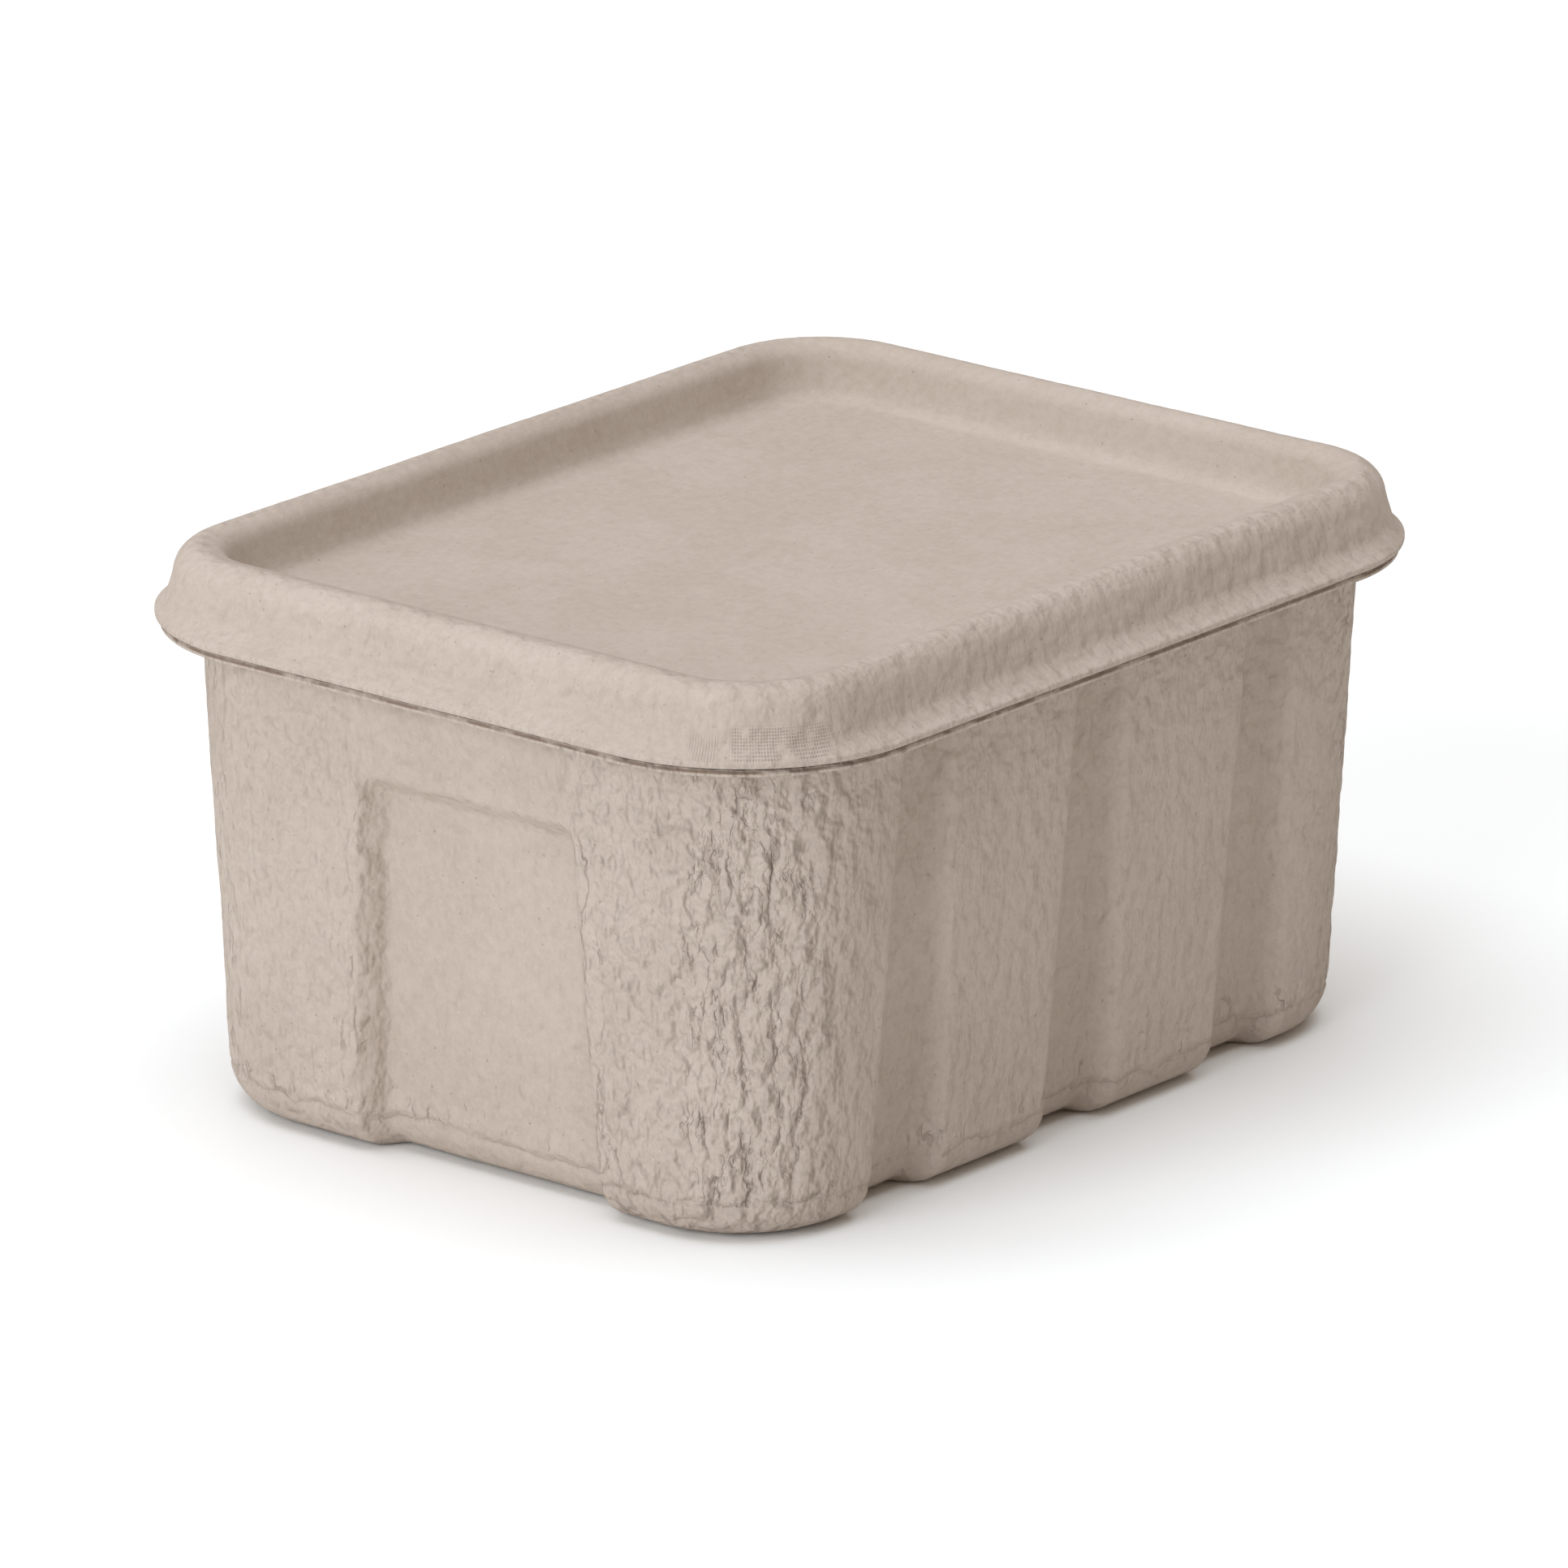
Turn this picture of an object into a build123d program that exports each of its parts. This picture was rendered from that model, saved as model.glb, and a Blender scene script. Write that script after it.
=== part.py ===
from build123d import *
import os
from math import cos, radians, sin

# Deep moulded-fibre egg carton: a fluted tub, a lift-off lid and the cell tray between them.
# All sizes are in millimetres. +Z is up, +X runs along the long side, and the origin is the
# centre of the underside, on the table.

# Outline shared by the lid's lip and the tub's flange
lip_length = 205.0
lip_width = 161.0
lip_corner = 36.0
lip_height = 92.0

# Sheet thicknesses
tub_wall = 1.5
lid_wall = 1.2
tray_wall = 1.5

# Tub: the wall stands in from the lip by these insets and leans with the mould's draft
top_inset = 7.25
base_inset = 12.5
top_corner = 31.6
base_corner = 25.5
bottom_round = 8.2
flange_inset = 0.9
flange_top = 91.7
bead_top = 96.0
bead_lean = 0.3

# Flutes: three upright channels between the egg columns, on both long walls
flute_pitch = 49.2
flute_top_half_width = 6.7
flute_base_half_width = 10.3
flute_top_depth = 3.5
flute_base_depth = 5.1
flute_side_run = 2.6

# End panels: one wide sunk panel in each short wall, with a ledge above it
panel_half_width = 24.0
panel_side_run = 3.2
panel_depth = 4.6
panel_floor_top = 69.5
ledge_top = 73.5

# Lid: the flange flares from the lip to a kink, then a rim climbs to a rounded crest
lip_edge = 1.0
lip_edge_width = 0.4
flare_inset = 2.4
flare_height = 94.0
flare_corner = 30.25
kink_inset = 4.8
kink_height = 95.3
kink_corner = 24.5
rim_inset = 6.15
rim_height = 99.9
rim_corner = 23.2
crest_round = 5.1
# Recess in the lid's top: each row is an (inset, drop from the crest, corner radius)
recess_profile = [(12.2, 0.0, 17.5), (13.9, 0.4, 16.0), (15.3, 1.7, 14.8), (17.3, 6.6, 13.2)]
# and then each row is an (inset, height over the recess floor, corner radius)
recess_foot = [(18.5, 1.0, 12.4), (20.5, 0.0, 11.0)]
recess_floor = 95.3
# The lid's underside moves in by these shares of the sheet where the flare slopes
kink_share = 0.7
flare_share = 0.2

# Cell tray: a basin whose rim lies on the ledges of the end walls
pitch_x = 43.4
pitch_y = 44.0
columns = 4
rows = 3
row_letters = "abc"
cup_floor = 28.0
saddle_height = 51.5
rim_rest = 74.4
cup_mouth_radius = 19.4
# Egg cup: each row is a (share of its depth, share of its mouth radius)
cup_profile = [(0.0, 0.40), (0.06, 0.56), (0.22, 0.74), (0.50, 0.90), (1.0, 1.0)]
post_base_radius = 8.6
post_top_radius = 3.4
tray_rim_length = 183.6
tray_rim_width = 140.2
tray_rim_corner = 28.5
rim_ledge_x = 4.5
rim_ledge_y = 4.2
basin_corner = 20.0
basin_lean = 1.5
notch_half_width = 9.8
notch_depth = 3.8

# Quarter-round profiles are stepped at these angles
round_steps = [0, 22.5, 45, 67.5, 90]
# Cutters run past the faces they cut by this much
past = 1.0
# and the lid's hollow leaves this much of its lip uncut
sliver = 0.05


def blend_up(low, high, height):
    """Value at a height on the tub wall, from low at the table to high under the lip."""
    return low + (high - low) * height / lip_height


def outline_stack(sections):
    """Solid through rounded rectangles, each an (inset from the lip, height, corner radius)."""
    with BuildPart() as block:
        for inset, height, corner in sections:
            with BuildSketch(Plane.XY.offset(height)):
                RectangleRounded(lip_length - 2 * inset, lip_width - 2 * inset, corner)
        loft(ruled=True)
    return block.part


def wall_sections(skin, height_limit):
    """Sections of the tub wall, skin deep inside its outer face, from the floor up."""
    bend = bottom_round - skin
    sections = []
    for angle in round_steps:
        height = skin + bend * (1 - cos(radians(angle)))
        pull_in = skin + bend * (1 - sin(radians(angle)))
        inset = blend_up(base_inset, top_inset, height) + pull_in
        corner = blend_up(base_corner, top_corner, height) - pull_in
        sections.append((inset, height, corner))
    top = blend_up(base_inset, top_inset, height_limit) + skin
    top_radius = blend_up(base_corner, top_corner, height_limit) - skin
    sections.append((top, height_limit, top_radius))
    return sections


def flute_cutter(centre, skin, sections):
    """Channel cut into the long wall at -Y: a trapezium in plan that widens to the floor."""
    with BuildPart() as cutter:
        for inset, height, _ in sections:
            mouth = blend_up(flute_base_half_width, flute_top_half_width, height) + skin
            depth = blend_up(flute_base_depth, flute_top_depth, height)
            face = -lip_width / 2 + inset
            run = flute_side_run * past / depth
            with BuildSketch(Plane.XY.offset(height)):
                with BuildLine():
                    Polyline(
                        (centre - mouth - run, face - past),
                        (centre + mouth + run, face - past),
                        (centre + mouth - flute_side_run, face + depth),
                        (centre - mouth + flute_side_run, face + depth),
                        close=True,
                    )
                make_face()
        loft(ruled=True)
    return cutter.part


def panel_cutter(skin, sections):
    """Wide sunk panel cut into the short wall at -X, closed at the top by a sloping ledge."""
    with BuildPart() as cutter:
        lower = [row for row in sections if row[1] < panel_floor_top]
        for height in (panel_floor_top + skin, ledge_top + skin):
            inset = blend_up(base_inset, top_inset, height) + skin
            lower.append((inset, height, 0))
        for inset, height, _ in lower:
            depth = panel_depth
            if height > panel_floor_top + skin:
                depth = -past / 2
            mouth = panel_half_width + skin
            face = -lip_length / 2 + inset
            run = panel_side_run * past / panel_depth
            with BuildSketch(Plane.XY.offset(height)):
                with BuildLine():
                    Polyline(
                        (face - past, -mouth - run),
                        (face + depth, -mouth + panel_side_run),
                        (face + depth, mouth - panel_side_run),
                        (face - past, mouth + run),
                        close=True,
                    )
                make_face()
        loft(ruled=True)
    return cutter.part


def fluted_block(skin, height_limit):
    """The tub's outer form, or with a skin the hollow inside it, flutes and panels included."""
    sections = wall_sections(skin, height_limit)
    body = outline_stack(sections)
    channels = [flute_cutter(step * flute_pitch, skin, sections) for step in (-1, 0, 1)]
    panel = panel_cutter(skin, sections)
    with BuildPart() as block:
        add(body)
        for channel in channels:
            add(channel, mode=Mode.SUBTRACT)
            add(channel.mirror(Plane.XZ), mode=Mode.SUBTRACT)
        add(panel, mode=Mode.SUBTRACT)
        add(panel.mirror(Plane.YZ), mode=Mode.SUBTRACT)
    return block.part


def lid_block(skin):
    """The lid's outer form, or with a skin the hollow under it, with the recess taken out."""
    if skin == 0:
        sections = [(0, lip_height, lip_corner), (0, lip_height + lip_edge, lip_corner)]
    else:
        sections = [
            (lip_edge_width, lip_height - past, lip_corner),
            (lip_edge_width, lip_height + sliver, lip_corner),
        ]
    sections.append((flare_inset + flare_share * skin, flare_height - skin, flare_corner))
    sections.append(
        (kink_inset + kink_share * skin, kink_height - skin, kink_corner - kink_share * skin)
    )
    bend = crest_round - skin
    for angle in round_steps:
        pull_in = skin + bend * (1 - cos(radians(angle)))
        height = rim_height + bend * sin(radians(angle))
        sections.append((rim_inset + pull_in, height, rim_corner - pull_in))
    crest = rim_height + bend
    # the recess, from above the crest down its soft inner wall to the flat panel
    mouth_inset, _, mouth_corner = recess_profile[0]
    recess = [(mouth_inset - skin, crest + past, mouth_corner + skin)]
    for inset, drop, corner in recess_profile:
        recess.append((inset - skin, crest - drop, corner + skin))
    for inset, rise, corner in recess_foot:
        recess.append((inset - skin, recess_floor - skin + rise, corner + skin))
    rim = outline_stack(sections)
    hollow = outline_stack(recess)
    with BuildPart() as block:
        add(rim)
        add(hollow, mode=Mode.SUBTRACT)
    return block.part


def cup_solid(skin):
    """One egg cup as a solid of round sections, grown by skin, with its mouth at the saddles."""
    depth = saddle_height - cup_floor
    with BuildPart() as cup:
        for share, width in cup_profile:
            height = cup_floor + share * depth
            if skin == 0 and share == 0:
                height += tray_wall
            if skin == 0 and share == 1:
                height += past
            with BuildSketch(Plane.XY.offset(height)):
                Circle(cup_mouth_radius * width + skin)
        loft(ruled=True)
    return cup.part


def post_solid(skin):
    """One tapering post as a solid, or with a skin the hollow inside it, open at the foot."""
    foot = saddle_height - tray_wall
    if skin:
        foot -= past
    with BuildPart() as post:
        with BuildSketch(Plane.XY.offset(foot)):
            Circle(post_base_radius - skin)
        with BuildSketch(Plane.XY.offset(rim_rest - skin)):
            Circle(post_top_radius - skin)
        loft(ruled=True)
    return post.part


def basin_solid(skin):
    """The tray's basin as a solid, or with a skin the room inside it, open at the rim."""
    levels = [(basin_lean, saddle_height - tray_wall + skin), (0, rim_rest + tray_wall)]
    if skin:
        levels.append((0, rim_rest + tray_wall + past))
    with BuildPart() as basin:
        for lean, height in levels:
            half_cut_x = rim_ledge_x + lean + skin
            half_cut_y = rim_ledge_y + lean + skin
            with BuildSketch(Plane.XY.offset(height)):
                RectangleRounded(
                    tray_rim_length - 2 * half_cut_x,
                    tray_rim_width - 2 * half_cut_y,
                    basin_corner - lean - skin,
                )
        loft(ruled=True)
    return basin.part


def cell_span(index, count, pitch, rim):
    """Where one cell starts and ends along a side of the tray; end cells run past the rim."""
    low = (index - count / 2) * pitch
    high = low + pitch
    if index == 0:
        low = -rim
    if index == count - 1:
        high = rim
    return low, high


# ---- tub -------------------------------------------------------------------------------------
tub_outside = fluted_block(0, flange_top)
tub_hollow = fluted_block(tub_wall, flange_top)
mouth_inset = top_inset + tub_wall
mouth_corner = top_corner - tub_wall
bead_foot = outline_stack(
    [(top_inset, flange_top - tub_wall, top_corner), (top_inset - bead_lean, bead_top, top_corner)]
)
bead_bore = outline_stack(
    [
        (mouth_inset, flange_top - past, mouth_corner),
        (mouth_inset - bead_lean, bead_top + past, mouth_corner),
    ]
)

with BuildPart() as tub:
    add(tub_outside)
    with BuildSketch(Plane.XY.offset(flange_top - tub_wall)):
        RectangleRounded(
            lip_length - 2 * flange_inset, lip_width - 2 * flange_inset, lip_corner - flange_inset
        )
    extrude(amount=tub_wall)
    add(bead_foot)
    add(tub_hollow, mode=Mode.SUBTRACT)
    add(bead_bore, mode=Mode.SUBTRACT)

# ---- lid -------------------------------------------------------------------------------------
lid_outside = lid_block(0)
lid_hollow = lid_block(lid_wall)

with BuildPart() as lid:
    add(lid_outside)
    add(lid_hollow, mode=Mode.SUBTRACT)

# ---- cell tray -------------------------------------------------------------------------------
cup_outside = cup_solid(tray_wall)
cup_inside = cup_solid(0)
post_outside = post_solid(0)
post_inside = post_solid(tray_wall)
basin_outside = basin_solid(0)
basin_inside = basin_solid(tray_wall)

with BuildPart() as tray_moulding:
    with BuildSketch(Plane.XY.offset(rim_rest)):
        RectangleRounded(tray_rim_length, tray_rim_width, tray_rim_corner)
    extrude(amount=tray_wall)
    # the rim steps round the backs of the flutes
    with Locations((0, 0, rim_rest)):
        with GridLocations(flute_pitch, tray_rim_width, columns - 1, 2):
            Box(2 * notch_half_width, 2 * notch_depth, 2 * past + 2 * tray_wall, mode=Mode.SUBTRACT)
    add(basin_outside)
    with GridLocations(pitch_x, pitch_y, columns, rows):
        add(cup_outside)
    add(basin_inside, mode=Mode.SUBTRACT)
    with GridLocations(pitch_x, pitch_y, columns, rows):
        add(cup_inside, mode=Mode.SUBTRACT)
    # hollow posts between the eggs, open underneath
    with GridLocations(pitch_x, pitch_y, columns - 1, rows - 1):
        add(post_outside)
    with GridLocations(pitch_x, pitch_y, columns - 1, rows - 1):
        add(post_inside, mode=Mode.SUBTRACT)

# The tray is one moulding. It is kept as one solid for each egg cell, cut through the posts and
# saddles, so that every cup stays open. The outer cells take in their stretch of the rim.
cells = {}
for column in range(columns):
    for row in range(rows):
        low_x, high_x = cell_span(column, columns, pitch_x, tray_rim_length)
        low_y, high_y = cell_span(row, rows, pitch_y, tray_rim_width)
        with BuildPart() as cell:
            add(tray_moulding.part)
            with Locations(((low_x + high_x) / 2, (low_y + high_y) / 2, rim_rest)):
                Box(high_x - low_x, high_y - low_y, 2 * rim_rest, mode=Mode.INTERSECT)
        cells[f"cell_{column + 1}{row_letters[row]}"] = cell

os.makedirs("parts", exist_ok=True)
for name, piece in {"tub": tub, "lid": lid, **cells}.items():
    piece.part.label = name
    export_step(piece.part, f"parts/{name}.step")
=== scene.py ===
"""Deep egg carton of moulded paper pulp: a fluted tub, a lift-off lid and the cell tray inside."""

import bmesh
import bpy
import numpy as np
from mathutils import Matrix, Vector


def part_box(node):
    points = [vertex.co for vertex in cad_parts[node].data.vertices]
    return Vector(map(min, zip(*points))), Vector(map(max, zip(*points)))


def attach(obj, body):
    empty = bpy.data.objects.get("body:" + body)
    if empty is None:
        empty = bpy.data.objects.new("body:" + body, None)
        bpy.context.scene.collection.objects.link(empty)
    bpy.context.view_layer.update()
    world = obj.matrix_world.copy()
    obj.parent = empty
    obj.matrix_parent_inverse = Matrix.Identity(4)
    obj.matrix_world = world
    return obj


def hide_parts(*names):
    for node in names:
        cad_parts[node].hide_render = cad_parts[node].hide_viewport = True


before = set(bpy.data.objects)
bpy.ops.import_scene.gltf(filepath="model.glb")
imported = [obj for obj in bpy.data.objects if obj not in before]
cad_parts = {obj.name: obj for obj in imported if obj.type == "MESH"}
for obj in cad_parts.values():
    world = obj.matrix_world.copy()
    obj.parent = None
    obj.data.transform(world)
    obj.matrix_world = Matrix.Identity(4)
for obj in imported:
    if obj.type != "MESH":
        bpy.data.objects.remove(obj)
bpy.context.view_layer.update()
tub_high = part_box("tub")[1]
lid_low, lid_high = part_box("lid")
cell_nodes = sorted(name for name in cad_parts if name.startswith("cell_"))
tray_low = np.min([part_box(name)[0] for name in cell_nodes], axis=0)
tray_high = np.max([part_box(name)[1] for name in cell_nodes], axis=0)

bl_info = {
    "name": "Moulded Pulp Egg Carton",
    "version": (1, 0, 0),
    "blender": (4, 5, 0),
    "location": "View3D > Sidebar > Egg Carton",
    "description": "Builds a tub, lid and cell tray of moulded paper pulp, and a stage to show them on",
    "category": "Object",
}

# Turns a value in millimetres into metres
MM = 0.001
# The steps of a quarter-round, as shares of a right angle
QUARTER = np.linspace(0.0, 1.0, 7)


# ---- settings --------------------------------------------------------------------------------
def length(name, default, description):
    """A length setting, in metres."""
    return bpy.props.FloatProperty(
        name=name,
        description=description,
        default=default,
        min=0.0,
        precision=5,
        unit="LENGTH",
        subtype="DISTANCE",
    )


def colour(name, default, description):
    """A colour setting, in linear red, green and blue."""
    return bpy.props.FloatVectorProperty(
        name=name, description=description, default=default, min=0.0, max=1.0, subtype="COLOR"
    )


def number(name, default, description, low=0.0):
    """A plain number setting."""
    return bpy.props.FloatProperty(name=name, description=description, default=default, min=low)


class TubSizes(bpy.types.PropertyGroup):
    """Sizes of the fluted tub."""

    wall: length("Wall", 1.5 * MM, "Thickness of the tub's sheet")
    top_inset: length("Top inset", 7.25 * MM, "How far the wall stands in from the lip, at the top")
    base_inset: length("Base inset", 12.5 * MM, "How far the wall stands in from the lip, at the foot")
    top_corner: length("Top corner", 31.6 * MM, "Corner radius of the wall under the flange")
    base_corner: length("Base corner", 25.5 * MM, "Corner radius of the wall at the foot")
    bottom_round: length("Bottom rounding", 8.2 * MM, "Radius between the wall and the base")
    flange_inset: length("Flange inset", 0.9 * MM, "How far the flange's edge stands in from the lip")
    flange_top: length("Flange top", 91.7 * MM, "Height of the flange's upper face")
    flute_pitch: length("Flute pitch", 49.2 * MM, "Distance between flutes along the long wall")
    flute_half_top: length("Flute half width, top", 6.7 * MM, "Half the flute's mouth at the lip")
    flute_half_base: length("Flute half width, foot", 10.3 * MM, "Half the flute's mouth at the foot")
    flute_depth_top: length("Flute depth, top", 3.5 * MM, "Depth of a flute at the lip")
    flute_depth_base: length("Flute depth, foot", 5.1 * MM, "Depth of a flute at the foot")
    flute_run: length("Flute side run", 2.6 * MM, "Width of a flute's sloping side")
    panel_offset: length("End panel offset", 4.0 * MM, "How far the end panel lies towards -Y")
    panel_half_top: length("End panel half width, top", 23.6 * MM, "Half its width at the lip")
    panel_half_base: length("End panel half width, foot", 28.2 * MM, "Half its width at the foot")
    panel_run: length("End panel side run", 3.2 * MM, "Width of the panel's sloping side")
    panel_depth: length("End panel depth", 4.6 * MM, "How far the end panel is sunk")
    ledge_top: length("Ledge top", 73.5 * MM, "Height of the ledge over the end panel")
    ledge_run: length("Ledge run", 4.0 * MM, "Height over which the ledge slopes")
    base_rise: length("Base rise", 0.8 * MM, "How far the middle of the base stands off the table")


class LidSizes(bpy.types.PropertyGroup):
    """Sizes of the lift-off lid."""

    wall: length("Wall", 1.2 * MM, "Thickness of the lid's sheet")
    lip_corner: length("Lip corner", 36.0 * MM, "Corner radius of the lip")
    lip_edge: length("Lip edge", 1.0 * MM, "Height of the lip's edge")
    kink_inset: length("Kink inset", 4.8 * MM, "How far in from the lip the flare meets the rim")
    kink_rise: length("Kink rise", 3.3 * MM, "Height of that meeting over the lip")
    rim_inset: length("Rim inset", 6.15 * MM, "How far in from the lip the rim stands")
    crest_round: length("Crest rounding", 5.1 * MM, "Radius of the rim's outer shoulder")
    recess_depth: length("Recess depth", 9.7 * MM, "Depth of the sunk top below the crest")


class TraySizes(bpy.types.PropertyGroup):
    """Sizes of the cell tray."""

    wall: length("Wall", 1.5 * MM, "Thickness of the tray's sheet")
    pitch_x: length("Pitch along", 43.4 * MM, "Distance between cells along the carton")
    pitch_y: length("Pitch across", 44.0 * MM, "Distance between cells across the carton")
    mouth_radius: length("Cup mouth radius", 19.4 * MM, "Radius of a cup at the saddles")
    saddle: length("Saddle height", 51.5 * MM, "Height of the saddles between the cups")
    post_base: length("Post foot radius", 8.6 * MM, "Radius of a post at its foot")
    post_top: length("Post top radius", 3.4 * MM, "Radius of a post at its top")
    rim_corner: length("Rim corner", 28.5 * MM, "Corner radius of the tray's rim")
    wall_inset: length("Basin inset", 5.9 * MM, "Distance from the rim's edge to the basin")
    wall_lean: length("Basin lean", 1.5 * MM, "How far the basin's wall leans in at its foot")
    notch_half: length("Notch half width", 9.8 * MM, "Half the width of the steps round the flutes")
    notch_depth: length("Notch depth", 3.8 * MM, "Depth of the steps round the flutes")


class PulpFinish(bpy.types.PropertyGroup):
    """Colour and surface of the pulp."""

    body: colour("Pulp", (0.486, 0.408, 0.346), "Colour of the pressed pulp")
    # darker tone of the pulp's clouds and of the screen weave, and also the painted shade in the crease
    # valleys
    shade: colour("Dark pulp", (0.405, 0.330, 0.270), "Colour of the darker clouds and the creases")
    # painted shade deep in the torn creases, along the hem crease and in the slit under the lid
    crack: colour("Crack", (0.190, 0.135, 0.098), "Colour deep inside a crack")
    # colour of the stray dark fibres, and also of the painted shade in the pits
    speck: colour("Speck", (0.230, 0.175, 0.130), "Colour of stray dark fibres and pits")
    # pale torn fibres along an edge, and also the colour of the painted highlights on the fold crowns and
    # of the pale flecks painted as glints
    fibre_and_highlight: colour("Edge fibres", (0.610, 0.525, 0.450), "Colour of the torn fibres along an edge")
    wave: length("Wave height", 0.30 * MM, "Slow unevenness of the drying sheet")
    fold: length("Fold height", 0.55 * MM, "Height of the crumpled folds on the columns")
    grain: length("Grain height", 0.07 * MM, "Height of the pulp's own grain")


class StageSettings(bpy.types.PropertyGroup):
    """Camera, lights and floor."""

    azimuth: bpy.props.FloatProperty(
        name="Azimuth", description="Camera's angle round the carton, in degrees", default=-50.904
    )
    elevation: bpy.props.FloatProperty(
        name="Elevation", description="Camera's angle over the horizon, in degrees", default=17.964
    )
    roll: bpy.props.FloatProperty(
        name="Roll", description="Camera's turn about its own axis, in degrees", default=0.174
    )
    distance: length("Distance", 2.645, "Distance from the camera to its aim")
    aim: bpy.props.FloatVectorProperty(
        name="Aim",
        description="Point that the camera looks at",
        default=(2.4 * MM, 2.0 * MM, 51.0 * MM),
        precision=5,
        unit="LENGTH",
        subtype="TRANSLATION",
    )
    lens: number("Lens", 335.4, "Focal length in millimetres, on a 36 mm sensor")
    floor: colour("Floor", (0.97, 0.97, 0.95), "Colour of the floor")
    sky: number("Surround light", 0.34, "Strength of the even light from all round")
    key: number("Key light", 59.0, "Power of the large soft light overhead, in watts")
    side: number("Side light", 44.0, "Power of the soft light at the end of the carton, in watts")
    back: number("Back light", 10.0, "Power of the soft light behind the carton, in watts")


# ---- outlines and sheets -----------------------------------------------------------------------
def spaced(span, gap_at):
    """Places from 0 up to, but not at, span: neighbours stand gap_at(place) apart."""
    fine = np.linspace(0.0, span, 2000)
    steps = np.array([1.0 / gap_at(place) for place in fine])
    total = np.concatenate(([0.0], np.cumsum((steps[1:] + steps[:-1]) / 2 * np.diff(fine))))
    count = int(round(total[-1]))
    return np.interp(np.arange(count) / count * total[-1], total, fine)


def columns_round(long_half, short_half, long_gap, short_gap, corner_gap):
    """Columns round a rounded rectangle. Each has a place between the corner centres, as shares
    of their distance from the middle, and the direction in which its corner radius pushes it."""
    shares = []
    pushes = []
    along = spaced(2 * long_half, lambda place: long_gap(abs(place - long_half))) / long_half - 1
    across = spaced(2 * short_half, lambda place: short_gap(abs(place - short_half))) / short_half - 1
    turn = spaced(90.0, lambda angle: corner_gap(abs(angle - 45.0)))
    for quarter in range(4):
        spin = np.radians(90.0 * quarter)
        cos_spin, sin_spin = round(np.cos(spin)), round(np.sin(spin))
        run = along if quarter % 2 == 0 else across
        for share in run:
            # the side that faces -Y, turned by the quarter
            shares.append((cos_spin * share + sin_spin, sin_spin * share - cos_spin))
            pushes.append((sin_spin, -cos_spin))
        for angle in np.radians(turn - 90.0 + 90.0 * quarter):
            shares.append((cos_spin + sin_spin, sin_spin - cos_spin))
            pushes.append((np.cos(angle), np.sin(angle)))
    return np.array(shares, dtype=float), np.array(pushes, dtype=float)


def ease(value):
    """Smooth step from 0 to 1."""
    value = np.clip(value, 0.0, 1.0)
    return value * value * (3.0 - 2.0 * value)


def soften(rows, rounding, gap):
    """A profile's rows, with its kinks rounded off and its rows set gap apart."""
    rows = np.array(rows, dtype=float)
    run = np.concatenate(([0.0], np.cumsum(np.hypot(*np.diff(rows[:, :2], axis=0).T))))
    fine_gap = 0.1 * MM
    fine = np.arange(0.0, run[-1], fine_gap)
    dense = np.stack([np.interp(fine, run, column) for column in rows.T], axis=1)
    reach = int(3 * rounding / fine_gap)
    weights = np.exp(-0.5 * (np.arange(-reach, reach + 1) * fine_gap / rounding) ** 2)
    weights /= weights.sum()
    start = 2 * dense[0] - dense[reach:0:-1]
    finish = 2 * dense[-1] - dense[-2 : -reach - 2 : -1]
    padded = np.concatenate([start, dense, finish])
    smooth = [np.convolve(column, weights, mode="valid") for column in padded.T]
    smooth = np.stack(smooth, axis=1)
    keep = np.linspace(0, len(smooth) - 1, max(int(run[-1] / gap), 2)).round().astype(int)
    return smooth[keep]


def sheet_mesh(name, points, fields):
    """Closed mesh through rows of points, one row after another round the sheet. The first and
    last rows lie on a line down the middle, where each closes on itself."""
    row_count, column_count, _ = points.shape
    index = np.arange(row_count * column_count).reshape(row_count, column_count)
    after = np.roll(index, -1, axis=1)
    faces = np.stack([index[:-1], after[:-1], after[1:], index[1:]], axis=-1).reshape(-1, 4)
    mesh = bpy.data.meshes.new(name)
    mesh.from_pydata(points.reshape(-1, 3).tolist(), [], faces.tolist())
    for field, values in fields.items():
        layer = mesh.attributes.new(field, "FLOAT", "POINT")
        layer.data.foreach_set("value", np.asarray(values, dtype=np.float32).ravel())
    return closed(mesh)


def closed(mesh):
    """The mesh with its doubles merged and its faces pointing out."""
    work = bmesh.new()
    work.from_mesh(mesh)
    bmesh.ops.remove_doubles(work, verts=work.verts, dist=0.002 * MM)
    bmesh.ops.dissolve_degenerate(work, edges=work.edges, dist=0.001 * MM)
    bmesh.ops.recalc_face_normals(work, faces=work.faces)
    work.to_mesh(mesh)
    work.free()
    return mesh


def piece_from(name, mesh):
    """A new object in the scene, at the origin."""
    piece = bpy.data.objects.new(name, mesh)
    bpy.context.scene.collection.objects.link(piece)
    return piece


def run_tree(piece, tree, values):
    """Puts a node tree on a piece, sets its named inputs and keeps the result as a plain mesh."""
    modifier = piece.modifiers.new(tree.name, "NODES")
    modifier.node_group = tree
    for item in tree.interface.items_tree:
        if item.item_type == "SOCKET" and item.in_out == "INPUT" and item.name in values:
            modifier[item.identifier] = values[item.name]
    bpy.context.view_layer.update()
    graph = bpy.context.evaluated_depsgraph_get()
    plain = bpy.data.meshes.new_from_object(piece.evaluated_get(graph), depsgraph=graph)
    piece.modifiers.clear()
    old = piece.data
    piece.data = plain
    bpy.data.meshes.remove(old)
    plain.name = piece.name
    return piece


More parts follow.
